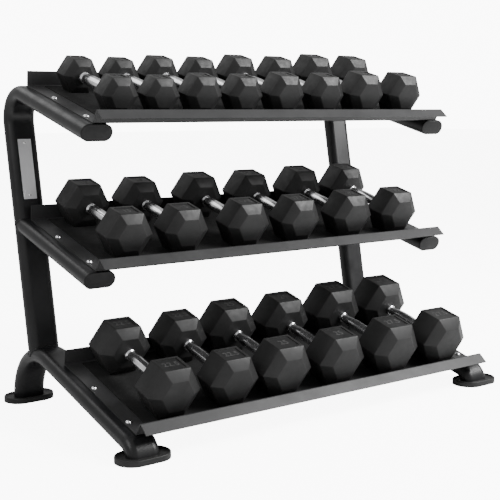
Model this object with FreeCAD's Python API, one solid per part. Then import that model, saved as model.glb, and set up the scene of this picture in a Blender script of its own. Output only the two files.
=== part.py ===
import FreeCAD, Part
import math
import os

# Three-tier dumbbell rack, loaded with ten pairs of hexagonal rubber dumbbells.
# Millimetres. X runs along the rack, -Y is the user's side, +Z is up.
# The origin is on the floor, below the middle of the feet.

V = FreeCAD.Vector

# ---- flat-oval tube of the two side frames ----
FRAME_X = 600.0             # side frame's middle plane, from the rack's middle
TUBE_WIDTH = 90.0           # section size along X
TUBE_DEPTH = 45.0           # section size across the tube
TUBE_WALL = 2.5
SLOPE = 14.5                # fall of the arms and trays towards the user, degrees
POST_LEAN = 10.95           # lean of the posts towards the back, degrees
POST_GAP = 16.0             # middle tray's back fold to the post's front face
TOP_BEND_RADIUS = 72.0
REAR_FOOT_BEHIND_POST = 144.47      # rear foot's middle behind the post's centre line, at the floor
ARCH_RADIUS = 150.0         # rear bend of a base tube
TOE_RADIUS = 45.0           # front bend of a base tube
TOE_HEIGHT = 33.0           # base tube's centre line above the middle of a front foot
ARM_REACH = 3.0             # arm tube past the tray's front fold

# ---- trays: folded sheet steel ----
TRAY_OVERHANG = 12.0        # tray's end past the side frame's middle plane
SHEET = 2.5
PLATE_DEPTH = 394.0         # front fold to back fold, on the top face
INNER_LIP = 41.3
INNER_LIP_LEAN = 32.0       # inner lip, forward of vertical
OUTER_LIP = 38.3
OUTER_LIP_FALL = 40.8       # outer lip, below horizontal
FLANGE = 40.0
FLANGE_LEAN = 5.0           # back flange, forward of vertical
FOLD_RADIUS = 2.5           # inside radius of every fold
TOP_FOLD_Z = 818.0
MIDDLE_FOLD_Z = 443.2
BOTTOM_FOLD_INSET = 11.4    # bottom tray's front fold behind the middle of the front feet
TIER_SETBACK = 190.6        # upper trays' front fold behind the bottom tray's

# ---- rubber mats ----
MAT = 2.0
MAT_INSET = 35.0            # mat's end short of the side frame's middle plane
MAT_FRONT = 12.0            # mat's front edge behind the front fold
MAT_BACK = 12.0             # mat's back edge before the back fold

# ---- tray fasteners ----
BOLT_FRONT = 58.8           # bolt rows behind the front fold
BOLT_BACK = 244.8
BOLT_RADIUS = 4.0
BOLT_HEAD_RADIUS = 7.5
BOLT_HEAD_RISE = 4.6
BOLT_CLEARANCE = 0.3        # radial, through sheet and tube
WASHER_RADIUS = 9.0
WASHER = 1.6
NUT_FLATS = 13.0
NUT = 6.5
BOLT_TIP = 1.5              # bolt past its nut

# ---- plastic end caps ----
CAP_FLANGE = 4.0
CAP_PLUG = 16.0
CAP_WALL = 2.5
CAP_CLEARANCE = 0.2
CAP_EDGE = 1.6              # rounding of the cap's rim

# ---- feet ----
PAD_LENGTH = 148.0
PAD_WIDTH = 95.0
PAD_FLOOR = 4.0             # rubber under the steel foot plate
PAD_TOP = 11.0
PAD_RIM_TOP = 16.0
PAD_RIM = 6.0
PAD_EDGE = 2.0
PAD_CLEARANCE = 0.5         # round the tube
FOOT_PLATE_MARGIN = 13.0    # foot plate past the tube, all round
FOOT_PLATE = 4.0

# ---- name plate on the left post ----
NAME_PLATE_LENGTH = 172.0
NAME_PLATE_WIDTH = 40.0
NAME_PLATE = 1.0
NAME_PLATE_Z = 682.0        # height of its middle
NAME_PLATE_CORNER = 2.0
RIVET_INSET = 11.0
RIVET_RADIUS = 2.0
RIVET_HEAD_RADIUS = 3.6
RIVET_HEAD_RISE = 1.4
RIVET_GRIP = 6.0

# ---- dumbbells: each tier holds pairs, lightest on the left ----
# across-flats size of each pair, gap between neighbours' corners, middle of the row,
# middle of each dumbbell behind the front fold, and how far each stands off its even place
TIERS = {
    "top": {"sizes": (95.0, 103.0, 112.0, 121.5), "gap": 20.0, "middle": 19.0, "behind": 214.0,
            "off": (-2, -2, -6, -4, -6, 0, -3, 0)},
    "middle": {"sizes": (123.0, 128.0, 133.0), "gap": 48.0, "middle": 5.0, "behind": 213.0,
               "off": (0, -11, 4, 0, 5, 0)},
    "bottom": {"sizes": (136.0, 146.0, 155.0), "gap": 25.0, "middle": 2.0, "behind": 200.0,
               "off": (0, 5, -12, -7, 0, 0)},
}
GRIP = 148.0                # clear length of the handle between the heads
PRISM_SHARE = 0.5           # straight part of a head, as a share of its flats
BEVEL_SHARE = 0.145         # length of a head's bevel, as a share of its flats
FACE_SHARE = 0.61           # flats of a head's end face, as a share of its flats
COVER = 6.0                 # rubber over the iron core
PANEL_MARGIN = 7.0          # weight panel inside the edges of the top flat
PANEL_DEPTH = 2.0
GRIP_RADIUS = 16.5          # at the middle of the handle's swell
GRIP_END_RADIUS = 14.0
GRIP_SWELL = 102.0          # length of the swollen, knurled part
NECK_RADIUS = 12.5
COLLAR_RADIUS = 16.0
COLLAR = 9.0
TAIL = 34.0                 # handle inside each head
TAIL_RADIUS = 12.5

NEAR = 0.01                 # tells an edge that lies in a plane from one that doesn't

# ---- worked out from the sizes above ----
SIN = math.sin(math.radians(SLOPE))
COS = math.cos(math.radians(SLOPE))
POST_COS = math.cos(math.radians(POST_LEAN))
POST_TAN = math.tan(math.radians(POST_LEAN))
ARM_BELOW = SHEET + TUBE_DEPTH / 2      # tube's centre line below a tray's top face
TRAY_LENGTH = 2 * (FRAME_X + TRAY_OVERHANG)
MAT_LENGTH = 2 * (FRAME_X - MAT_INSET)
# the post's centre line at the floor, behind the upper trays' front fold
MIDDLE_BACK_Z = MIDDLE_FOLD_Z + PLATE_DEPTH * SIN
POST_BEHIND_FOLD = PLATE_DEPTH * COS + POST_GAP + TUBE_DEPTH / 2 / POST_COS - MIDDLE_BACK_Z * POST_TAN
# feet, as far in front of the middle as behind it
FOOT_Y = (BOTTOM_FOLD_INSET + TIER_SETBACK + POST_BEHIND_FOLD + REAR_FOOT_BEHIND_POST) / 2
UPPER_FOLD_Y = BOTTOM_FOLD_INSET + TIER_SETBACK - FOOT_Y
POST_FLOOR_Y = UPPER_FOLD_Y + POST_BEHIND_FOLD
PLATE_TOP = PAD_FLOOR + FOOT_PLATE      # where the base tube stands


# ---------------------------------------------------------------- geometry helpers

def on_slope(fold, along, above):
    """Point in the YZ plane, from a tray's front fold: along the tray, and square above it."""
    return V(0, fold[0] + along * COS - above * SIN, fold[1] + along * SIN + above * COS)


def corner_arc(before, corner, after, radius):
    """The two tangent points and the arc that rounds one corner."""
    back = (before - corner).normalize()
    ahead = (after - corner).normalize()
    half = back.getAngle(ahead) / 2
    reach = radius / math.tan(half)
    start = corner + back * reach
    end = corner + ahead * reach
    bisector = (back + ahead).normalize()
    middle = corner + bisector * (radius / math.sin(half) - radius)
    return start, end, Part.Arc(start, middle, end).toShape()


def rounded_wire(points, radii, closed=False):
    """Wire through the points, each corner rounded by its radius (0 keeps it sharp)."""
    count = len(points)
    edges = []
    here = points[0]
    for i in range(0 if closed else 1, count if closed else count - 1):
        if radii[i] > 0:
            start, end, arc = corner_arc(points[i - 1], points[i], points[(i + 1) % count], radii[i])
        else:
            start, end, arc = points[i], points[i], None
        if i > 0:
            edges.append(Part.LineSegment(here, start).toShape())
        else:
            first = start
        if arc:
            edges.append(arc)
        here = end
    last = first if closed else points[-1]
    edges.append(Part.LineSegment(here, last).toShape())
    return Part.Wire(edges)


def stadium(length, width, z=0.0):
    """Flat-oval wire in a level plane, long along X."""
    half = (length - width) / 2
    r = width / 2
    edges = [
        Part.LineSegment(V(-half, -r, z), V(half, -r, z)).toShape(),
        Part.Arc(V(half, -r, z), V(half + r, 0, z), V(half, r, z)).toShape(),
        Part.LineSegment(V(half, r, z), V(-half, r, z)).toShape(),
        Part.Arc(V(-half, r, z), V(-half - r, 0, z), V(-half, -r, z)).toShape(),
    ]
    return Part.Wire(edges)


def stadium_block(length, width, low, high):
    return Part.Face(stadium(length, width, low)).extrude(V(0, 0, high - low))


def tilted(shape, degrees, place):
    """Turn a shape about X, then move it."""
    shape.rotate(V(0, 0, 0), V(1, 0, 0), degrees)
    shape.translate(place)
    return shape


def swept(wire, points, radii):
    """Carry a section, drawn on the XY plane, along a rounded path in the YZ plane."""
    direction = points[1] - points[0]
    angle = math.degrees(math.atan2(direction.z, direction.y)) - 90
    section = tilted(wire, angle, points[0])
    return rounded_wire(points, radii).makePipeShell([section], True, False)


def tube(points, radii):
    """The outer block and the bore of a bent tube."""
    bore = stadium(TUBE_WIDTH - 2 * TUBE_WALL, TUBE_DEPTH - 2 * TUBE_WALL)
    return swept(stadium(TUBE_WIDTH, TUBE_DEPTH), points, radii), swept(bore, points, radii)


def ground(top):
    """Everything below a height."""
    size = 4 * FOOT_Y
    return Part.makeBox(size, size, size, V(-size / 2, -size / 2, top - size))


def at_frame(shape):
    """Move a shape made at X = 0 to the left side frame."""
    shape.translate(V(-FRAME_X, 0, 0))
    return shape


def both_sides(shape):
    """A left shape and its copy on the right."""
    return [shape, shape.mirror(V(0, 0, 0), V(1, 0, 0))]


# ---------------------------------------------------------------- centre lines of the frame

def base_line(y):
    """Point on the sloping part of the base tube's centre line."""
    return V(0, y, TOE_HEIGHT + (y + FOOT_Y) * SIN / COS)


def base_height(y):
    """Height of the base tube's centre line, on its slope or on its rear bend."""
    reach = ARCH_RADIUS * math.tan(math.radians(90 + SLOPE) / 2)
    beyond = y - (FOOT_Y - ARCH_RADIUS)
    if y < FOOT_Y - reach * COS:
        return base_line(y).z
    return base_line(FOOT_Y).z - reach + math.sqrt(ARCH_RADIUS ** 2 - beyond ** 2)


def bottom_fold():
    """Front fold of the bottom tray, which lies on the base tubes."""
    y = BOTTOM_FOLD_INSET - FOOT_Y
    return y, base_line(y).z + ARM_BELOW / COS


# front fold of each tray's top face: (y, z)
TRAY_FOLDS = {
    "top": (UPPER_FOLD_Y, TOP_FOLD_Z),
    "middle": (UPPER_FOLD_Y, MIDDLE_FOLD_Z),
    "bottom": bottom_fold(),
}


def post_point(z):
    return V(0, POST_FLOOR_Y + z * POST_TAN, z)


def arm_meets_post(fold):
    """Where an arm's centre line crosses the post's centre line."""
    start = on_slope(fold, 0, -ARM_BELOW)
    rise = SIN / COS
    z = (start.z + (POST_FLOOR_Y - start.y) * rise) / (1 - POST_TAN * rise)
    return post_point(z)


# ---------------------------------------------------------------- side frames

def base_path():
    """Corners and bends of the base tube's centre line, from the rear foot to the front one."""
    below = -2 * TOE_RADIUS
    points = [V(0, FOOT_Y, below), base_line(FOOT_Y), base_line(-FOOT_Y), V(0, -FOOT_Y, below)]
    return points, [0, ARCH_RADIUS, TOE_RADIUS, 0]


def base_tube_blocks():
    """The base tube's outer block, its bore, and a deep band below its middle at the rear."""
    points, radii = base_path()
    outer, bore = tube(points, radii)
    side = TUBE_WIDTH
    corners = [V(-side, -TUBE_DEPTH, 0), V(side, -TUBE_DEPTH, 0), V(side, 0, 0), V(-side, 0, 0)]
    band = swept(Part.makePolygon(corners + corners[:1]), points[:3], radii[:2] + [0])
    return outer.cut(ground(PLATE_TOP)), bore.cut(ground(PLATE_TOP)), band


def upright_blocks():
    front = on_slope(TRAY_FOLDS["top"], -ARM_REACH, -ARM_BELOW)
    foot = post_point(base_height(post_point(base_line(POST_FLOOR_Y).z).y) - TUBE_DEPTH / 2)
    points = [foot, arm_meets_post(TRAY_FOLDS["top"]), front]
    return tube(points, [0, TOP_BEND_RADIUS, 0])


def middle_arm_blocks():
    front = on_slope(TRAY_FOLDS["middle"], -ARM_REACH, -ARM_BELOW)
    return tube([front, arm_meets_post(TRAY_FOLDS["middle"])], [0, 0])


def bolt_places(fold):
    """Bolt centres on a tray's top face, at one end of the tray."""
    return [on_slope(fold, BOLT_FRONT, 0), on_slope(fold, BOLT_BACK, 0)]


def along_bolt(shape, place):
    """Stand a shape made along Z on the slope."""
    return tilted(shape, SLOPE, place)


def bolt_hole(place):
    depth = TUBE_DEPTH / 2
    return along_bolt(Part.makeCylinder(BOLT_RADIUS + BOLT_CLEARANCE, 2 * depth, V(0, 0, -depth)), place)


def drilled(shape, fold):
    for place in bolt_places(fold):
        shape = shape.cut(bolt_hole(place))
    return shape


def side_frame():
    """Base tube, upright and middle arm of the left side, coped where they are welded."""
    base_outer, base_bore, under_base = base_tube_blocks()
    post_outer, post_bore = upright_blocks()
    arm_outer, arm_bore = middle_arm_blocks()
    base = drilled(base_outer.cut(base_bore), TRAY_FOLDS["bottom"])
    post = post_outer.cut(post_bore).cut(base_outer.fuse(under_base))
    upright = drilled(post, TRAY_FOLDS["top"])
    arm = drilled(arm_outer.cut(arm_bore).cut(post_outer), TRAY_FOLDS["middle"])
    return {"base_tube": base, "upright": upright, "middle_arm": arm}


def arm_end_cap(fold):
    """Plastic plug in the open front end of an arm, with a rounded rim."""
    inset = TUBE_WALL + CAP_CLEARANCE
    length = TUBE_WIDTH - 2 * inset
    width = TUBE_DEPTH - 2 * inset
    rim = stadium_block(TUBE_WIDTH, TUBE_DEPTH, 0, CAP_FLANGE)
    front = [e for e in rim.Edges if e.BoundBox.ZMin > CAP_FLANGE - NEAR]
    rim = rim.makeFillet(CAP_EDGE, front)
    plug = stadium_block(length, width, -CAP_PLUG, 0)
    hollow = stadium_block(length - 2 * CAP_WALL, width - 2 * CAP_WALL, -CAP_PLUG, -CAP_WALL)
    cap = rim.fuse(plug).cut(hollow).removeSplitter()
    # the cap's +Z points out of the tube, down the slope towards the user
    return tilted(cap, SLOPE + 90, on_slope(fold, -ARM_REACH, -ARM_BELOW))


# ---------------------------------------------------------------- feet

def foot_pad(y):
    """Rubber pad with a raised rim, moulded round the foot plate and open round the tube."""
    pad = stadium_block(PAD_LENGTH, PAD_WIDTH, 0, PAD_RIM_TOP)
    outside = [e for e in pad.Edges if e.BoundBox.ZMin > PAD_RIM_TOP - NEAR]
    pad = pad.makeFillet(PAD_EDGE, outside)
    dish = stadium_block(PAD_LENGTH - 2 * PAD_RIM, PAD_WIDTH - 2 * PAD_RIM, PAD_TOP, PAD_RIM_TOP)
    pad = pad.cut(dish)
    pad.translate(V(0, y, 0))
    return pad.cut(foot_plate(y)).cut(tube_throat())


def tube_throat():
    """The space that a pad leaves round the base tube, down to the foot plate."""
    fit = 2 * PAD_CLEARANCE
    throat = swept(stadium(TUBE_WIDTH + fit, TUBE_DEPTH + fit), *base_path())
    return throat.cut(ground(PLATE_TOP))


def foot_plate(y):
    length = TUBE_WIDTH + 2 * FOOT_PLATE_MARGIN
    width = TUBE_DEPTH + 2 * FOOT_PLATE_MARGIN
    plate = stadium_block(length, width, PAD_FLOOR, PLATE_TOP)
    plate.translate(V(0, y, 0))
    return plate


def at_feet(make):
    """One copy of a piece at each of the four feet."""
    pieces = []
    for y in (-FOOT_Y, FOOT_Y):
        pieces += both_sides(at_frame(make(y)))
    return pieces


# ---------------------------------------------------------------- trays

def offset_points(points, distance):
    """The same open outline, moved sideways by a distance, with mitred corners."""
    moved = []
    for i, point in enumerate(points):
        normals = []
        for a, b in ((i - 1, i), (i, i + 1)):
            if a >= 0 and b < len(points):
                step = (points[b] - points[a]).normalize()
                normals.append(V(0, -step.z, step.y))
        mean = V(0, 0, 0)
        for normal in normals:
            mean += normal
        mean.normalize()
        moved.append(point + mean * (distance / mean.dot(normals[0])))
    return moved


def tray_line(fold):
    """Top-side outline of a tray, from the outer lip's free edge to the flange's free edge."""
    lean = math.radians(INNER_LIP_LEAN)
    fall = math.radians(OUTER_LIP_FALL)
    back = math.radians(FLANGE_LEAN)
    front_fold = on_slope(fold, 0, 0)
    crest = front_fold + V(0, -math.sin(lean), math.cos(lean)) * INNER_LIP
    free_edge = crest + V(0, -math.cos(fall), -math.sin(fall)) * OUTER_LIP
    back_fold = on_slope(fold, PLATE_DEPTH, 0)
    flange_edge = back_fold + V(0, -math.sin(back), math.cos(back)) * FLANGE
    return [free_edge, crest, front_fold, back_fold, flange_edge]


def tray(fold):
    top_side = tray_line(fold)
    under_side = offset_points(top_side, -SHEET)
    inside = FOLD_RADIUS
    outside = FOLD_RADIUS + SHEET
    # the crest bends the other way from the two folds of the plate
    top_radii = [0, outside, inside, inside, 0]
    under_radii = [0, inside, outside, outside, 0]
    outline = top_side + under_side[::-1]
    radii = top_radii + under_radii[::-1]
    section = Part.Face(rounded_wire(outline, radii, closed=True))
    section.translate(V(-TRAY_LENGTH / 2, 0, 0))
    body = section.extrude(V(TRAY_LENGTH, 0, 0))
    for place in bolt_places(fold):
        for x in (-FRAME_X, FRAME_X):
            hole = bolt_hole(place)
            hole.translate(V(x, 0, 0))
            body = body.cut(hole)
    return body


def tray_mat(fold):
    depth = PLATE_DEPTH - MAT_FRONT - MAT_BACK
    mat = Part.makeBox(MAT_LENGTH, depth, MAT, V(-MAT_LENGTH / 2, 0, 0))
    return tilted(mat, SLOPE, on_slope(fold, MAT_FRONT, 0))


def dome(radius, rise):
    """Low round head: a ball's cap on the plane Z = 0."""
    ball = (radius ** 2 + rise ** 2) / (2 * rise)
    block = Part.makeSphere(ball, V(0, 0, rise - ball))
    return block.common(Part.makeCylinder(2 * radius, rise))


def tray_bolt():
    length = SHEET + TUBE_WALL + NUT + BOLT_TIP + WASHER
    shank = Part.makeCylinder(BOLT_RADIUS, length, V(0, 0, WASHER - length))
    head = dome(BOLT_HEAD_RADIUS, BOLT_HEAD_RISE)
    head.translate(V(0, 0, WASHER))
    return shank.fuse(head)


def tray_washer():
    disc = Part.makeCylinder(WASHER_RADIUS, WASHER)
    hole = Part.makeCylinder(BOLT_RADIUS + BOLT_CLEARANCE, WASHER)
    return disc.cut(hole)


def tray_nut():
    seat = -SHEET - TUBE_WALL
    prism = Part.Face(hexagon(NUT_FLATS, seat - NUT)).extrude(V(0, 0, NUT))
    return prism.cut(Part.makeCylinder(BOLT_RADIUS, NUT, V(0, 0, seat - NUT)))


def at_bolts(make):
    """One copy of a fastener at each of the twelve tray bolts."""
    pieces = []
    for fold in TRAY_FOLDS.values():
        for place in bolt_places(fold):
            pieces += both_sides(at_frame(along_bolt(make(), place)))
    return pieces


# ---------------------------------------------------------------- name plate

def on_post(shape, height):
    """Move a shape lying on the XY plane to the left post's front face."""
    face = post_point(height) - V(0, TUBE_DEPTH / 2 / POST_COS, 0)
    return at_frame(tilted(shape, 90 - POST_LEAN, face))


def name_plate():
    a = NAME_PLATE_WIDTH / 2
    b = NAME_PLATE_LENGTH / 2
    corners = [V(-a, -b, 0), V(a, -b, 0), V(a, b, 0), V(-a, b, 0)]
    wire = rounded_wire(corners, [NAME_PLATE_CORNER] * 4, closed=True)
    plate = Part.Face(wire).extrude(V(0, 0, NAME_PLATE))
    for y in rivet_places():
        plate = plate.cut(Part.makeCylinder(RIVET_RADIUS, NAME_PLATE, V(0, y, 0)))
    return on_post(plate, NAME_PLATE_Z)


def rivet_places():
    y = NAME_PLATE_LENGTH / 2 - RIVET_INSET
    return (-y, y)


def name_plate_rivets():
    """Blind rivets, with their shanks through the post's front wall."""
    rivets = []
    for y in rivet_places():
        head = dome(RIVET_HEAD_RADIUS, RIVET_HEAD_RISE)
        head.translate(V(0, 0, NAME_PLATE))
        shank = Part.makeCylinder(RIVET_RADIUS, RIVET_GRIP, V(0, 0, NAME_PLATE - RIVET_GRIP))
        rivet = head.fuse(shank)
        rivet.translate(V(0, y, 0))
        rivets.append(on_post(rivet, NAME_PLATE_Z))
    return rivets


def rivet_holes():
    holes = []
    for y in rivet_places():
        hole = Part.makeCylinder(RIVET_RADIUS, 2 * RIVET_GRIP, V(0, y, -RIVET_GRIP))
        holes.append(on_post(hole, NAME_PLATE_Z))
    return holes


# ---------------------------------------------------------------- dumbbells

def hexagon(flats, z):
    """Hexagon in a level plane, with two flats square to Y."""
    corner = flats / math.sqrt(3)
    points = []
    for i in range(6):
        angle = math.radians(60 * i)
        points.append(V(corner * math.cos(angle), corner * math.sin(angle), z))
    return Part.Wire(Part.makePolygon(points + points[:1]))


def head_stations(size, skin):
    """Half flats and distance from the inner face, along a head taken down by a skin."""
    face = size * FACE_SHARE / 2
    full = size / 2
    bevel = size * BEVEL_SHARE
    length = head_length(size)
    slant = math.hypot(full - face, bevel)
    lift = skin * (full - face) / slant
    draw = skin * bevel / slant
    ratio = (full - face) / bevel
    small = face - draw + (skin - lift) * ratio
    reach = lift + (full - skin - face + draw) / ratio
    return [(small, skin), (full - skin, reach), (full - skin, length - reach), (small, length - skin)]


def head_length(size):
    return size * (PRISM_SHARE + 2 * BEVEL_SHARE)


def head_block(size, skin):
    """Hexagonal head with bevelled ends, along +Z from the handle's shoulder."""
    wires = [hexagon(2 * half, GRIP / 2 + z) for half, z in head_stations(size, skin)]
    return Part.makeLoft(wires, True, True)


def weight_panel(size):
    """Shallow pocket in the flat that faces up."""
    width = size / math.sqrt(3) - 2 * PANEL_MARGIN
    length = size * PRISM_SHARE - 2 * PANEL_MARGIN
    start = GRIP / 2 + size * BEVEL_SHARE + PANEL_MARGIN
    return Part.makeBox(width, PANEL_DEPTH, length, V(-width / 2, size / 2 - PANEL_DEPTH, start))


def handle():
    """Chromed handle: knurled swell, two necks, two collars and a tail in each head."""
    collar_start = GRIP / 2 - COLLAR
    swell = GRIP_SWELL / 2
    end = GRIP / 2 + TAIL
    left = [V(TAIL_RADIUS, 0, -end), V(TAIL_RADIUS, 0, -GRIP / 2), V(COLLAR_RADIUS, 0, -GRIP / 2),
            V(COLLAR_RADIUS, 0, -collar_start), V(NECK_RADIUS, 0, -collar_start),
            V(NECK_RADIUS, 0, -swell), V(GRIP_END_RADIUS, 0, -swell)]
    right = [V(p.x, 0, -p.z) for p in reversed(left)]
    outline = [V(0, 0, -end)] + left
    edges = [Part.LineSegment(a, b).toShape() for a, b in zip(outline, left)]
    edges.append(Part.Arc(left[-1], V(GRIP_RADIUS, 0, 0), right[0]).toShape())
    outline = right + [V(0, 0, end), V(0, 0, -end)]
    edges += [Part.LineSegment(a, b).toShape() for a, b in zip(outline, outline[1:])]
    profile = Part.Face(Part.Wire(edges))
    return profile.revolve(V(0, 0, 0), V(0, 0, 1), 360)


def both_ends(shape):
    """A shape at one end of a dumbbell and its copy at the other."""
    return [shape, shape.mirror(V(0, 0, 0), V(0, 0, 1))]


def dumbbell(size):
    """Rubber covers and the bar (handle and iron cores) of one dumbbell, along Z, top flat at +Y."""
    tail = Part.makeCylinder(TAIL_RADIUS, TAIL, V(0, 0, GRIP / 2))
    core = head_block(size, COVER)
    cover = head_block(size, 0).cut(core).cut(tail).cut(weight_panel(size))
    return Part.makeCompound(both_ends(cover)), Part.makeCompound([handle()] + both_ends(core.cut(tail)))


def row_places(tier):
    """Middle of each dumbbell along X."""
    sizes = [size for size in tier["sizes"] for _ in range(2)]
    widths = [size * 2 / math.sqrt(3) for size in sizes]
    x = tier["middle"] - (sum(widths) + tier["gap"] * (len(widths) - 1)) / 2
    places = []
    for width, off in zip(widths, tier["off"]):
        places.append(x + width / 2 + off)
        x += width + tier["gap"]
    return list(zip(sizes, places))


def on_tray(shape, size, x, tier_name):
    """Lay a dumbbell on its tray's mat."""
    place = on_slope(TRAY_FOLDS[tier_name], TIERS[tier_name]["behind"], MAT + size / 2)
    # +Z of the dumbbell turns to point up the slope, and its +Y flat to face up
    shape.rotate(V(0, 0, 0), V(0, 0, 1), 180)
    shape.rotate(V(0, 0, 0), V(1, 0, 0), SLOPE - 90)
    shape.translate(place + V(x, 0, 0))
    return shape


# ---------------------------------------------------------------- build

def frame_nodes():
    nodes = {}
    for name, shape in side_frame().items():
        left, right = both_sides(at_frame(shape))
        if name == "upright":
            for hole in rivet_holes():
                left = left.cut(hole)
        nodes["left_" + name] = left
        nodes["right_" + name] = right
    caps = []
    for tier_name in ("top", "middle"):
        caps += both_sides(at_frame(arm_end_cap(TRAY_FOLDS[tier_name])))
    nodes["arm_end_caps"] = Part.makeCompound(caps)
    nodes["foot_pads"] = Part.makeCompound(at_feet(foot_pad))
    nodes["foot_plates"] = Part.makeCompound(at_feet(foot_plate))
    nodes["name_plate"] = name_plate()
    nodes["name_plate_rivets"] = Part.makeCompound(name_plate_rivets())
    return nodes


def tray_nodes():
    nodes = {}
    for tier_name, fold in TRAY_FOLDS.items():
        nodes[tier_name + "_tray"] = tray(fold)
        nodes[tier_name + "_tray_mat"] = tray_mat(fold)
    nodes["tray_bolts"] = Part.makeCompound(at_bolts(tray_bolt))
    nodes["tray_washers"] = Part.makeCompound(at_bolts(tray_washer))
    nodes["tray_weld_nuts"] = Part.makeCompound(at_bolts(tray_nut))
    return nodes


def dumbbell_nodes():
    nodes = {}
    for tier_name, tier in TIERS.items():
        for number, (size, x) in enumerate(row_places(tier), start=1):
            covers, bar = dumbbell(size)
            name = "%s_dumbbell_%d" % (tier_name, number)
            nodes[name + "_covers"] = on_tray(covers, size, x, tier_name)
            nodes[name + "_bar"] = on_tray(bar, size, x, tier_name)
    return nodes


def build():
    os.makedirs("parts", exist_ok=True)
    for group in (frame_nodes(), tray_nodes(), dumbbell_nodes()):
        for name, shape in group.items():
            shape.exportStep("parts/%s.step" % name)


build()
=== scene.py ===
import math

import bmesh
import bpy
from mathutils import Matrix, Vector


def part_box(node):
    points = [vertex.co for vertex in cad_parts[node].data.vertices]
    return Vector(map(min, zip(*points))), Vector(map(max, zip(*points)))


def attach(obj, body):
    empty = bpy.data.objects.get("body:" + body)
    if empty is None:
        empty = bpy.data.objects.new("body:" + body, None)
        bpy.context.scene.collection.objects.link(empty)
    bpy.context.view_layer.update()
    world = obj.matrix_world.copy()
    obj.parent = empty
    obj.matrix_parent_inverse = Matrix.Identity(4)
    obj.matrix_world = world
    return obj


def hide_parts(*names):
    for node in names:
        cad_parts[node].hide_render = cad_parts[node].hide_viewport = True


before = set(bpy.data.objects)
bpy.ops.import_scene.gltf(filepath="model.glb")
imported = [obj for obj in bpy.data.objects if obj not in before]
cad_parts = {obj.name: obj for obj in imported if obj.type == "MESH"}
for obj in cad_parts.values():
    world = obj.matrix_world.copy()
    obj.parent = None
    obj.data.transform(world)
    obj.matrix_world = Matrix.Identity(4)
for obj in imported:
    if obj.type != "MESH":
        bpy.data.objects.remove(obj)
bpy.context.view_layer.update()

# Looks of a three-tier dumbbell rack, loaded with hexagonal rubber dumbbells. Metres.
# X runs along the rack, -Y is the user's side, +Z is up.

# ---- slopes of the rack ----
SLOPE = math.radians(14.5)          # trays and arms fall towards the user
POST_LEAN = math.radians(10.95)     # posts lean towards the back
UP_SLOPE = Vector((0, math.cos(SLOPE), math.sin(SLOPE)))
OFF_SLOPE = Vector((0, -math.sin(SLOPE), math.cos(SLOPE)))
UP_POST = Vector((0, math.sin(POST_LEAN), math.cos(POST_LEAN)))
OFF_POST = Vector((0, -math.cos(POST_LEAN), math.sin(POST_LEAN)))

# ---- flat-oval tube ----
TUBE_WIDTH = 0.090
TUBE_DEPTH = 0.045
SHEET = 0.0025
ARM_REACH = 0.003                   # arm past the tray's front fold
WELD_RADIUS = 0.0024
WELD_TURNS = 14                      # points of a bead round a quarter of the tube
ARCH_RADIUS = 0.150                 # rear bend of a base tube

# ---- end caps ----
CAP_THICKNESS = 0.004

# ---- mats and tray bolts ----
MAT = 0.002
MAT_FRONT = 0.012                   # mat's edge behind the front fold
BOLT_ROWS = (0.0588, 0.2448)        # behind the front fold
WASHER = 0.0016
BOLT_HEAD_RADIUS = 0.0075
BOLT_HEAD_RISE = 0.0046

# ---- name plate ----
NAME_PLATE = 0.001

# ---- feet ----
PAD_LENGTH = 0.148
PAD_WIDTH = 0.095
PAD_TOP = 0.011
PAD_GRIP = 0.0008                   # pad pressed past the side of the tube

# ---- dumbbells ----
GRIP = 0.148                        # clear length of the handle
PRISM_SHARE = 0.5                   # straight part of a head, as a share of its flats
BEVEL_SHARE = 0.145
FACE_SHARE = 0.61
HEAD_EDGE = 0.0014                  # rounding of a head's edges
PANEL_MARGIN = 0.007
PANEL_DEPTH = 0.0022
COLLAR_RADIUS = 0.0158
COLLAR = 0.009
COLLAR_EDGE = 0.0008
COLLAR_SEAT = 0.001                 # collar let into the head
NECK_RADIUS = 0.0125
GRIP_RADIUS = 0.0162
GRIP_END_RADIUS = 0.0138
GRIP_SWELL = 0.102
KNURL_ROWS = 64
KNURL_ROUND = 72
KNURL_RISE = 1.02                   # raised points of the knurl, as a share of the radius

# ---- studio ----
STUDIO_LIGHT = 0.7
BACKDROP = 10.0                     # the white the eye sees behind the rack
FLOOR_GLOW = 8.0                    # the same white, on the floor
FLOOR_SIZE = 60
CAMERA_PLACE = (-1.82425, -2.43375, 0.8542)
CAMERA_TILT = math.radians(82.10)
CAMERA_TURN = math.radians(-36.42)
CAMERA_LENS = 73.7                  # millimetres, on a sensor as wide as the next
CAMERA_SENSOR = 36

# pairs on each tier, lightest on the left, with the weight moulded on each head
WEIGHTS = {
    "top": ("5", "7.5", "10", "12.5"),
    "middle": ("15", "17.5", "20"),
    "bottom": ("22.5", "25", "27.5"),
}


# ---------------------------------------------------------------- materials

def new_material(name, colour, roughness, metallic=0.0, specular=0.5):
    """A shader with its constants, and the object's own coordinates to draw patterns with."""
    material = bpy.data.materials.new(name)
    material.use_nodes = True
    tree = material.node_tree
    shader = tree.nodes["Principled BSDF"]
    shader.inputs["Base Color"].default_value = (*colour, 1)
    shader.inputs["Roughness"].default_value = roughness
    shader.inputs["Metallic"].default_value = metallic
    shader.inputs["Specular IOR Level"].default_value = specular
    coordinates = tree.nodes.new("ShaderNodeTexCoord")
    return material, tree, shader, coordinates.outputs["Object"]


def stretched(tree, coordinates, scale, turn=(0, 0, 0)):
    mapping = tree.nodes.new("ShaderNodeMapping")
    mapping.inputs["Scale"].default_value = scale
    mapping.inputs["Rotation"].default_value = turn
    tree.links.new(coordinates, mapping.inputs["Vector"])
    return mapping.outputs["Vector"]


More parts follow.
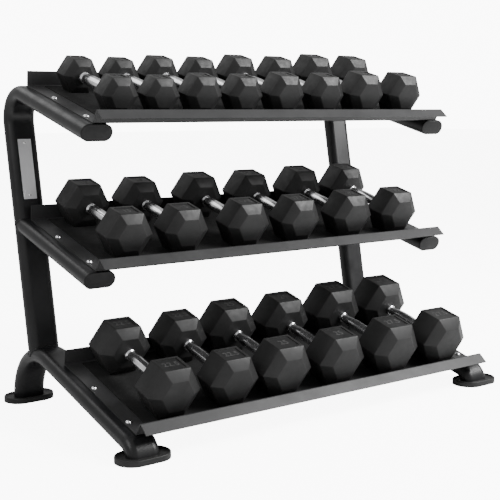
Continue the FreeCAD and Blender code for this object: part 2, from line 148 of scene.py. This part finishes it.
def noise(tree, coordinates, scale, detail=3.0, roughness=0.55):
    node = tree.nodes.new("ShaderNodeTexNoise")
    node.inputs["Scale"].default_value = scale
    node.inputs["Detail"].default_value = detail
    node.inputs["Roughness"].default_value = roughness
    tree.links.new(coordinates, node.inputs["Vector"])
    return node.outputs["Fac"]


def cells(tree, coordinates, scale):
    node = tree.nodes.new("ShaderNodeTexVoronoi")
    node.inputs["Scale"].default_value = scale
    tree.links.new(coordinates, node.inputs["Vector"])
    return node.outputs["Distance"]


def between(tree, value, low, high, from_low=0.3, from_high=0.7):
    """Spread a pattern's middle values over a range."""
    node = tree.nodes.new("ShaderNodeMapRange")
    node.inputs["From Min"].default_value = from_low
    node.inputs["From Max"].default_value = from_high
    node.inputs["To Min"].default_value = low
    node.inputs["To Max"].default_value = high
    tree.links.new(value, node.inputs["Value"])
    return node.outputs["Result"]


def blended(tree, value, dark, light, dark_at=0.35, light_at=0.65):
    ramp = tree.nodes.new("ShaderNodeValToRGB")
    ramp.color_ramp.elements[0].position = dark_at
    ramp.color_ramp.elements[0].color = (*dark, 1)
    ramp.color_ramp.elements[1].position = light_at
    ramp.color_ramp.elements[1].color = (*light, 1)
    tree.links.new(value, ramp.inputs["Fac"])
    return ramp.outputs["Color"]


def bumped(tree, shader, height, distance, strength=1.0):
    bump = tree.nodes.new("ShaderNodeBump")
    bump.inputs["Distance"].default_value = distance
    bump.inputs["Strength"].default_value = strength
    tree.links.new(height, bump.inputs["Height"])
    tree.links.new(bump.outputs["Normal"], shader.inputs["Normal"])


def powder_coat(name, dark, light, roughness, grain):
    """Baked powder: an even dark film with the fine ripple of orange peel."""
    material, tree, shader, place = new_material(name, dark, roughness, specular=0.3)
    tree.links.new(blended(tree, noise(tree, place, 9), dark, light), shader.inputs["Base Color"])
    spread = between(tree, noise(tree, place, 28), roughness - 0.05, roughness + 0.06)
    tree.links.new(spread, shader.inputs["Roughness"])
    bumped(tree, shader, noise(tree, place, grain, detail=2), 0.00025, 0.5)
    return material


def rubber(name, dark, light, roughness, grain, depth):
    """Moulded rubber: matt, faintly dusty, with a fine grain."""
    material, tree, shader, place = new_material(name, dark, roughness, specular=0.25)
    tree.links.new(blended(tree, noise(tree, place, 16, detail=6), dark, light), shader.inputs["Base Color"])
    spread = between(tree, noise(tree, place, 60), roughness - 0.07, roughness + 0.07)
    tree.links.new(spread, shader.inputs["Roughness"])
    bumped(tree, shader, noise(tree, place, grain, detail=4), depth, 0.6)
    return material


def pebbled_rubber(name, dark, light, roughness):
    """Mat rubber: small round pebbles pressed into its face."""
    material, tree, shader, place = new_material(name, dark, roughness, specular=0.2)
    tree.links.new(blended(tree, noise(tree, place, 12, detail=6), dark, light), shader.inputs["Base Color"])
    spread = between(tree, noise(tree, place, 45), roughness - 0.06, roughness + 0.08)
    tree.links.new(spread, shader.inputs["Roughness"])
    bumped(tree, shader, cells(tree, place, 420), 0.0005, 0.7)
    return material


def polished(name, dark, light, roughness, grain=140):
    """Plated or bright steel, with faint rubbing marks."""
    material, tree, shader, place = new_material(name, dark, roughness, metallic=1.0)
    tree.links.new(blended(tree, noise(tree, place, 30), dark, light), shader.inputs["Base Color"])
    spread = between(tree, noise(tree, place, grain, detail=5), roughness * 0.7, roughness * 1.4)
    tree.links.new(spread, shader.inputs["Roughness"])
    bumped(tree, shader, noise(tree, place, 900), 0.00005, 0.4)
    return material


def brushed(name, dark, light, roughness):
    """Aluminium brushed along the post that it is fixed to."""
    material, tree, shader, place = new_material(name, dark, roughness, metallic=1.0)
    lines = noise(tree, stretched(tree, place, (2600, 60, 60)), 1.0, detail=4)
    tree.links.new(blended(tree, lines, dark, light), shader.inputs["Base Color"])
    tree.links.new(between(tree, lines, roughness - 0.08, roughness + 0.1), shader.inputs["Roughness"])
    bumped(tree, shader, lines, 0.00005, 0.5)
    return material


frame_paint = powder_coat("frame_powder_coat", (0.005, 0.005, 0.0055), (0.008, 0.008, 0.0085), 0.34, 420)
tray_paint = powder_coat("tray_powder_coat", (0.018, 0.018, 0.0185), (0.026, 0.026, 0.0265), 0.44, 700)
mat_rubber = pebbled_rubber("mat_rubber", (0.006, 0.006, 0.006), (0.010, 0.010, 0.010), 0.72)
cap_plastic = rubber("cap_plastic", (0.002, 0.002, 0.0022), (0.004, 0.004, 0.0042), 0.50, 900, 0.0001)
foot_rubber = rubber("foot_rubber", (0.009, 0.009, 0.009), (0.014, 0.014, 0.014), 0.50, 700, 0.0002)
head_rubber = rubber("head_rubber", (0.009, 0.009, 0.009), (0.014, 0.014, 0.014), 0.50, 800, 0.0002)
number_rubber = rubber("moulded_number_rubber", (0.040, 0.040, 0.040),
                       (0.060, 0.060, 0.060), 0.55, 800, 0.0002)
bolt_chrome = polished("bolt_chrome", (0.62, 0.62, 0.63), (0.74, 0.74, 0.75), 0.18)
handle_chrome = polished("handle_chrome", (0.66, 0.66, 0.67), (0.80, 0.80, 0.81), 0.20)
plain_steel = polished("plain_steel", (0.30, 0.30, 0.31), (0.42, 0.42, 0.42), 0.45)
plate_aluminium = brushed("name_plate_aluminium", (0.78, 0.78, 0.79), (0.90, 0.90, 0.91), 0.42)
rivet_aluminium = polished("rivet_aluminium", (0.70, 0.70, 0.71), (0.82, 0.82, 0.82), 0.30)


# ---------------------------------------------------------------- modelling

def start_fresh():
    """Leave edit mode with nothing selected, ready for a new piece."""
    if bpy.context.object and bpy.context.object.mode != "OBJECT":
        bpy.ops.object.mode_set(mode="OBJECT")
    bpy.ops.object.select_all(action="DESELECT")


def only(*pieces):
    """Select these pieces and nothing else."""
    start_fresh()
    for piece in pieces:
        piece.select_set(True)
    bpy.context.view_layer.objects.active = pieces[0]


def pick(piece, kind, wanted):
    """In edit mode, select the points, edges or faces whose middle and normal pass a test."""
    only(piece)
    bpy.ops.object.mode_set(mode="EDIT")
    bpy.ops.mesh.select_mode(type=kind)
    bpy.ops.mesh.select_all(action="DESELECT")
    mesh = bmesh.from_edit_mesh(piece.data)
    if kind == "VERT":
        for point in mesh.verts:
            point.select_set(wanted(point.co))
    elif kind == "EDGE":
        for edge in mesh.edges:
            edge.select_set(wanted((edge.verts[0].co + edge.verts[1].co) / 2))
    else:
        for face in mesh.faces:
            face.select_set(wanted(face.calc_center_median(), face.normal))
    mesh.select_flush_mode()
    bmesh.update_edit_mesh(piece.data)


def pull(step):
    """Extrude what is selected by a step."""
    bpy.ops.mesh.extrude_region_move(TRANSFORM_OT_translate={"value": step})


def face_outwards(piece):
    only(piece)
    bpy.ops.object.mode_set(mode="EDIT")
    bpy.ops.mesh.select_all(action="SELECT")
    bpy.ops.mesh.remove_doubles(threshold=0.00001)
    bpy.ops.mesh.normals_make_consistent(inside=False)
    bpy.ops.object.mode_set(mode="OBJECT")


def smooth(piece, degrees=30):
    only(piece)
    bpy.ops.object.shade_smooth_by_angle(angle=math.radians(degrees))


def round_edges(piece, width, segments=3, degrees=25):
    """Round every edge sharper than an angle."""
    only(piece)
    bpy.ops.object.modifier_add(type="BEVEL")
    rounding = piece.modifiers[-1]
    rounding.width = width
    rounding.segments = segments
    rounding.limit_method = "ANGLE"
    rounding.angle_limit = math.radians(degrees)
    bpy.ops.object.modifier_apply(modifier=rounding.name)


def place(piece, where, turn=(0, 0, 0)):
    """Put a piece in its place, and keep the place in its mesh."""
    only(piece)
    piece.rotation_euler = turn
    piece.location = where
    bpy.ops.object.transform_apply(location=True, rotation=True, scale=True)
    return piece


def copy_of(piece):
    twin = piece.copy()
    twin.data = piece.data.copy()
    bpy.context.scene.collection.objects.link(twin)
    return twin


def joined(pieces, name):
    only(*pieces)
    if len(pieces) > 1:
        bpy.ops.object.join()
    whole = bpy.context.object
    whole.name = name
    whole.data.name = name
    return whole


def finished(piece, material, body, stands_for=()):
    """Paint a piece, and tell the frame where it belongs."""
    piece.data.materials.clear()
    piece.data.materials.append(material)
    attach(piece, body)
    if stands_for:
        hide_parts(*stands_for)
    return piece


def oval(length, width, profile, points=64):
    """Flat-oval piece, long along X, on the level plane: profile is a list of (inset, height)."""
    start_fresh()
    bpy.ops.mesh.primitive_circle_add(vertices=points, radius=width / 2, fill_type="NGON")
    piece = bpy.context.object
    half = (length - width) / 2
    for side in (-1, 1):
        pick(piece, "VERT", lambda co, side=side: co.x * side > 0.0001)
        bpy.ops.transform.translate(value=(side * half, 0, 0))
    pick(piece, "FACE", lambda centre, normal: True)
    before = 0.0
    inset = 0.0
    for step, (edge, height) in enumerate(profile):
        if step == 0:
            pull((0, 0, height))
        elif edge > inset:
            bpy.ops.mesh.inset(thickness=edge - inset, depth=0)
            bpy.ops.transform.translate(value=(0, 0, height - before))
        else:
            pull((0, 0, height - before))
        before = height
        inset = edge
    face_outwards(piece)
    return piece


# ---------------------------------------------------------------- places on the rack

def middle_of(node):
    low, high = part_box(node)
    return (low + high) / 2


def front_fold(tier):
    """Front fold of a tray's top face, found from the mat that lies on it."""
    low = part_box(tier + "_tray_mat")[0]
    mat_corner = Vector((0, low.y + MAT * math.sin(SLOPE), low.z))
    return mat_corner - UP_SLOPE * MAT_FRONT


frame_x = middle_of("right_upright").x
SIDES = {"left": -frame_x, "right": frame_x}
foot_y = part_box("foot_pads")[1].y - PAD_WIDTH / 2


def crossing(point_a, way_a, point_b, way_b):
    """Where two lines in the YZ plane meet."""
    gap = point_b - point_a
    share = (gap.y * way_b.z - gap.z * way_b.y) / (way_a.y * way_b.z - way_a.z * way_b.y)
    return point_a + way_a * share


# ---------------------------------------------------------------- frame details

def arm_end_caps():
    profile = [(0, 0.0026), (0.0004, 0.0033), (0.0012, 0.0038), (0.0026, CAP_THICKNESS)]
    caps = []
    for tier in ("top", "middle"):
        mouth = front_fold(tier) - UP_SLOPE * ARM_REACH - OFF_SLOPE * (SHEET + TUBE_DEPTH / 2)
        for x in SIDES.values():
            cap = oval(TUBE_WIDTH, TUBE_DEPTH, profile)
            caps.append(place(cap, mouth + Vector((x, 0, 0)), (SLOPE + math.pi / 2, 0, 0)))
    piece = joined(caps, "arm_end_cap_set")
    smooth(piece)
    finished(piece, cap_plastic, "rack", ["arm_end_caps"])


def foot_pads():
    throat = (PAD_WIDTH - TUBE_DEPTH) / 2 - PAD_GRIP
    profile = [(0, 0.0118), (0.0003, 0.0140), (0.0011, 0.0154), (0.0024, 0.0160), (0.0038, 0.0157),
               (0.0050, 0.0144), (0.0062, 0.0122), (0.0090, PAD_TOP), (throat, PAD_TOP)]
    pads = []
    for side in SIDES.values():
        for end in (-foot_y, foot_y):
            pads.append(place(oval(PAD_LENGTH, PAD_WIDTH, profile), (side, end, 0)))
    piece = joined(pads, "foot_pad_set")
    smooth(piece, 40)
    finished(piece, foot_rubber, "rack", ["foot_pads"])


def weld_half(x, seam_at):
    """Bead along half the seam of two tubes; seam_at gives the seam's middle line off the flat side."""
    radius = TUBE_DEPTH / 2
    straight = (TUBE_WIDTH - TUBE_DEPTH) / 2
    turns = WELD_TURNS
    seam = []
    for i in range(turns + 1):
        angle = math.pi / 2 * i / turns
        seam.append((straight + radius * math.cos(angle), radius * math.sin(angle)))
    outline = seam + [(-across, off) for across, off in reversed(seam)]
    start_fresh()
    bpy.ops.mesh.primitive_circle_add(vertices=len(outline), radius=radius)
    bead = bpy.context.object
    # the circle is opened at its last edge, and its points are moved to the seam
    pick(bead, "EDGE", lambda middle: False)
    mesh = bmesh.from_edit_mesh(bead.data)
    mesh.verts.ensure_lookup_table()
    for point, (across, off) in zip(mesh.verts, outline):
        point.co = seam_at(off) + Vector((x + across, 0, 0))
    for edge in mesh.edges:
        edge.select_set({edge.verts[0].index, edge.verts[1].index} == {0, len(outline) - 1})
    bmesh.update_edit_mesh(bead.data)
    bpy.ops.mesh.delete(type="EDGE")
    bpy.ops.object.mode_set(mode="OBJECT")
    bpy.ops.object.convert(target="CURVE")
    bead = bpy.context.object
    bead.data.bevel_depth = WELD_RADIUS
    bead.data.bevel_resolution = 3
    bead.data.use_fill_caps = True
    bpy.ops.object.convert(target="MESH")
    return bpy.context.object


def seam_on_slope(centre, first, second):
    """Where two straight tubes meet, as far off one tube's axis as off the other's."""
    rise = (first + second) / (1 + first.dot(second))
    return lambda off: centre + rise * off


def seam_on_arch(arch_middle, post_point, side):
    """Where a post stands on the rear bend: side is -1 towards the user, 1 towards the back."""
    def at(off):
        start = post_point - OFF_POST * off * side
        reach = ARCH_RADIUS + off
        gap = start - arch_middle
        along = gap.dot(UP_POST)
        return start + UP_POST * (math.sqrt(along ** 2 - gap.length_squared + reach ** 2) - along)
    return at


def frame_welds():
    """Beads where each upright stands on its base tube, and where each middle arm meets its upright."""
    below = OFF_SLOPE * (SHEET + TUBE_DEPTH / 2)
    arm_axis = front_fold("middle") - below
    base_axis = front_fold("bottom") - below
    plate = middle_of("name_plate")
    post_axis = Vector((0, plate.y, plate.z)) - OFF_POST * (TUBE_DEPTH / 2 + NAME_PLATE / 2)
    shoulder = crossing(arm_axis, UP_SLOPE, post_axis, UP_POST)
    top = base_axis + UP_SLOPE * ((foot_y - base_axis.y) / math.cos(SLOPE))
    reach = ARCH_RADIUS * math.tan((math.pi / 2 + SLOPE) / 2)
    arch_middle = Vector((0, foot_y - ARCH_RADIUS, top.z - reach))
    beads = []
    for x in SIDES.values():
        for seam_at in (
            seam_on_arch(arch_middle, post_axis, -1),
            seam_on_arch(arch_middle, post_axis, 1),
            seam_on_slope(shoulder, OFF_SLOPE, OFF_POST),
            seam_on_slope(shoulder, -OFF_SLOPE, OFF_POST),
        ):
            beads.append(weld_half(x, seam_at))
    piece = joined(beads, "frame_welds")
    smooth(piece, 40)
    finished(piece, frame_paint, "rack")


def tray_bolts():
    """Domed heads, seated on the washers."""
    ball = (BOLT_HEAD_RADIUS ** 2 + BOLT_HEAD_RISE ** 2) / (2 * BOLT_HEAD_RISE)
    top = math.asin(BOLT_HEAD_RADIUS / ball)
    profile = [(0, 0.0002)]
    for i in range(1, 9):
        angle = top * (1 - i / 9)
        height = BOLT_HEAD_RISE - ball + ball * math.cos(angle)
        profile.append((BOLT_HEAD_RADIUS - ball * math.sin(angle), height))
    heads = []
    for tier in WEIGHTS:
        for row in BOLT_ROWS:
            seat = front_fold(tier) + UP_SLOPE * row + OFF_SLOPE * WASHER
            for x in SIDES.values():
                head = oval(2 * BOLT_HEAD_RADIUS, 2 * BOLT_HEAD_RADIUS, profile, points=36)
                heads.append(place(head, seat + Vector((x, 0, 0)), (SLOPE, 0, 0)))
    piece = joined(heads, "tray_bolt_heads")
    smooth(piece, 40)
    finished(piece, bolt_chrome, "rack", ["tray_bolts"])


# ---------------------------------------------------------------- dumbbells

def half_head(flats):
    """One rubber head, away from the user along +Y, with a flat side up."""
    corner = flats / math.sqrt(3)
    straight = flats * PRISM_SHARE
    slant = flats * BEVEL_SHARE
    middle = GRIP / 2 + slant + straight / 2
    start_fresh()
    bpy.ops.mesh.primitive_cylinder_add(vertices=6, radius=corner, depth=straight, location=(0, middle, 0),
                                        rotation=(math.pi / 2, math.pi / 6, 0))
    head = bpy.context.object
    bpy.ops.object.transform_apply(location=True, rotation=True, scale=True)
    for end in (-1, 1):
        pick(head, "FACE", lambda centre, normal, end=end: normal.y * end > 0.9)
        pull((0, end * slant, 0))
        tip = middle + end * (straight / 2 + slant)
        bpy.ops.transform.resize(value=(FACE_SHARE, 1, FACE_SHARE), center_override=(0, tip, 0))
    face_outwards(head)
    round_edges(head, HEAD_EDGE, segments=4)
    pick(head, "FACE", lambda centre, normal: normal.z > 0.99 and centre.z > flats / 2 - 0.0001)
    bpy.ops.mesh.inset(thickness=PANEL_MARGIN, depth=0)
    bpy.ops.mesh.inset(thickness=0.0006, depth=-PANEL_DEPTH)
    bpy.ops.mesh.inset(thickness=0.0005, depth=0)
    face_outwards(head)
    return head


def head_pair(flats):
    """Both heads of a dumbbell that lies level along Y."""
    far = half_head(flats)
    near = place(copy_of(far), (0, 0, 0), (0, 0, math.pi))
    pair = joined([far, near], "head_pair")
    smooth(pair, 25)
    return pair


def number_pair(flats, weight):
    """The weight, raised on the panel of both heads and read from the user's side."""
    numbers = []
    middle = GRIP / 2 + flats * (BEVEL_SHARE + PRISM_SHARE / 2)
    for end in (-1, 1):
        start_fresh()
        bpy.ops.object.text_add(location=(0, end * middle, flats / 2 - PANEL_DEPTH + 0.0003))
        text = bpy.context.object
        text.data.body = weight
        text.data.size = flats * 0.21
        text.data.extrude = 0.0004
        text.data.resolution_u = 4
        text.data.align_x = "CENTER"
        text.data.align_y = "CENTER"
        bpy.ops.object.convert(target="MESH")
        number = bpy.context.object
        bpy.ops.object.transform_apply(location=True, rotation=True, scale=True)
        numbers.append(number)
    pair = joined(numbers, "number_pair")
    face_outwards(pair)
    return pair


def knurled_handle():
    """Handle along Y: collars against the heads, thin necks and a knurled swell."""
    reach = GRIP / 2
    swell = GRIP_SWELL / 2
    edge = COLLAR_EDGE
    stations = [
        (-reach - COLLAR_SEAT, COLLAR_RADIUS - COLLAR_SEAT),
        (-reach - COLLAR_SEAT, COLLAR_RADIUS - edge),
        (-reach, COLLAR_RADIUS),
        (-reach + COLLAR - edge, COLLAR_RADIUS),
        (-reach + COLLAR, COLLAR_RADIUS - edge),
        (-reach + COLLAR, NECK_RADIUS + edge),
        (-reach + COLLAR + edge, NECK_RADIUS),
        (-swell - edge, NECK_RADIUS),
        (-swell, NECK_RADIUS + edge),
    ]
    rows = []
    for i in range(KNURL_ROWS + 1):
        y = -swell + GRIP_SWELL * i / KNURL_ROWS
        rows.append((y, GRIP_RADIUS - (GRIP_RADIUS - GRIP_END_RADIUS) * (y / swell) ** 2))
    mirrored = [(-y, radius) for y, radius in reversed(stations)]
    profile = stations + rows + mirrored
    start_fresh()
    first_y, first_radius = profile[0]
    bpy.ops.mesh.primitive_circle_add(vertices=KNURL_ROUND, radius=first_radius, fill_type="NGON",
                                      location=(0, first_y, 0), rotation=(math.pi / 2, 0, 0))
    handle = bpy.context.object
    bpy.ops.object.transform_apply(location=True, rotation=True, scale=True)
    pick(handle, "FACE", lambda centre, normal: True)
    y, radius = profile[0]
    for next_y, next_radius in profile[1:]:
        pull((0, next_y - y, 0))
        scale = next_radius / radius
        bpy.ops.transform.resize(value=(scale, 1, scale), center_override=(0, next_y, 0))
        y, radius = next_y, next_radius
    pitch = GRIP_SWELL / KNURL_ROWS

    def raised(co):
        row = round((co.y + swell) / pitch)
        if not 1 < row < KNURL_ROWS - 1 or abs(co.y + swell - row * pitch) > pitch / 10:
            return False
        place_round = round(math.atan2(co.x, co.z) / (2 * math.pi) * KNURL_ROUND)
        return (row + place_round) % 2 == 0

    pick(handle, "VERT", raised)
    bpy.ops.transform.resize(value=(KNURL_RISE, 1, KNURL_RISE), center_override=(0, 0, 0))
    face_outwards(handle)
    smooth(handle, 35)
    handle.name = "handle"
    return handle


def dumbbells():
    handle = knurled_handle()
    for tier, weights in WEIGHTS.items():
        for pair, weight in enumerate(weights):
            names = ["%s_dumbbell_%d" % (tier, 2 * pair + k) for k in (1, 2)]
            low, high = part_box(names[0] + "_covers")
            flats = (high.x - low.x) * math.sqrt(3) / 2
            heads = head_pair(flats)
            numbers = number_pair(flats, weight)
            for name in names:
                middle = middle_of(name + "_covers")
                for model, kind, material, slot, node in (
                    (heads, "heads", head_rubber, "head_rubber", "_covers"),
                    (numbers, "numbers", number_rubber, "head_rubber", None),
                    (handle, "handle", handle_chrome, "handle_chrome", "_bar"),
                ):
                    piece = place(copy_of(model), middle, (SLOPE, 0, 0))
                    piece.name = name + "_" + kind
                    piece.data.name = piece.name
                    finished(piece, material, name, [name + node] if node else ())
            for model in (heads, numbers):
                bpy.data.objects.remove(model)
    bpy.data.objects.remove(handle)


# ---------------------------------------------------------------- CAD nodes that stay

def paint_cad_nodes():
    finishes = {
        frame_paint: ["left_upright", "right_upright", "left_base_tube", "right_base_tube",
                      "left_middle_arm", "right_middle_arm"],
        tray_paint: [tier + "_tray" for tier in WEIGHTS],
        mat_rubber: [tier + "_tray_mat" for tier in WEIGHTS],
        bolt_chrome: ["tray_washers"],
        plain_steel: ["tray_weld_nuts", "foot_plates"],
        plate_aluminium: ["name_plate"],
        rivet_aluminium: ["name_plate_rivets"],
    }
    for material, names in finishes.items():
        for name in names:
            for material_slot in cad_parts[name].material_slots:
                material_slot.material = material


# ---------------------------------------------------------------- floor, light and camera

def floor_and_light():
    start_fresh()
    bpy.ops.mesh.primitive_plane_add(size=FLOOR_SIZE)
    floor = bpy.context.object
    floor.name = "floor"
    material, tree, shader, coordinates = new_material("pale_floor", (0.94, 0.94, 0.94), 0.85, specular=0.1)
    glow = tree.nodes.new("ShaderNodeMath")
    glow.operation = "MULTIPLY"
    glow.inputs[1].default_value = FLOOR_GLOW
    tree.links.new(tree.nodes.new("ShaderNodeLightPath").outputs["Is Camera Ray"], glow.inputs[0])
    shader.inputs["Emission Color"].default_value = (1, 1, 1, 1)
    tree.links.new(glow.outputs["Value"], shader.inputs["Emission Strength"])
    floor.data.materials.append(material)

    world = bpy.data.worlds.new("studio")
    bpy.context.scene.world = world
    world.use_nodes = True
    tree = world.node_tree
    lighting = tree.nodes["Background"]
    lighting.inputs["Color"].default_value = (1, 1, 1, 1)
    lighting.inputs["Strength"].default_value = STUDIO_LIGHT
    backdrop = tree.nodes.new("ShaderNodeBackground")
    backdrop.inputs["Color"].default_value = (1, 1, 1, 1)
    backdrop.inputs["Strength"].default_value = BACKDROP
    choice = tree.nodes.new("ShaderNodeMixShader")
    tree.links.new(tree.nodes.new("ShaderNodeLightPath").outputs["Is Camera Ray"], choice.inputs["Fac"])
    tree.links.new(lighting.outputs["Background"], choice.inputs[1])
    tree.links.new(backdrop.outputs["Background"], choice.inputs[2])
    tree.links.new(choice.outputs["Shader"], tree.nodes["World Output"].inputs["Surface"])

    for name, place_at, size, power in (
        ("front_softbox", (2.3, -2.0, 2.6), 1.6, 300),
        ("back_softbox", (-1.2, 2.4, 3.2), 1.8, 20),
        ("left_softbox", (-2.8, -0.6, 2.4), 1.4, 35),
    ):
        bpy.ops.object.light_add(type="AREA", location=place_at)
        light = bpy.context.object
        light.name = name
        light.data.size = size
        light.data.energy = power
        aim = Vector((0, 0, 0.5)) - Vector(place_at)
        light.rotation_euler = aim.to_track_quat("-Z", "Y").to_euler()


def camera():
    bpy.ops.object.camera_add(location=CAMERA_PLACE, rotation=(CAMERA_TILT, 0, CAMERA_TURN))
    view = bpy.context.object
    view.data.lens = CAMERA_LENS
    view.data.sensor_width = CAMERA_SENSOR
    bpy.context.scene.camera = view


# ---------------------------------------------------------------- the whole scene

camera()
floor_and_light()
paint_cad_nodes()
arm_end_caps()
foot_pads()
frame_welds()
tray_bolts()
dumbbells()
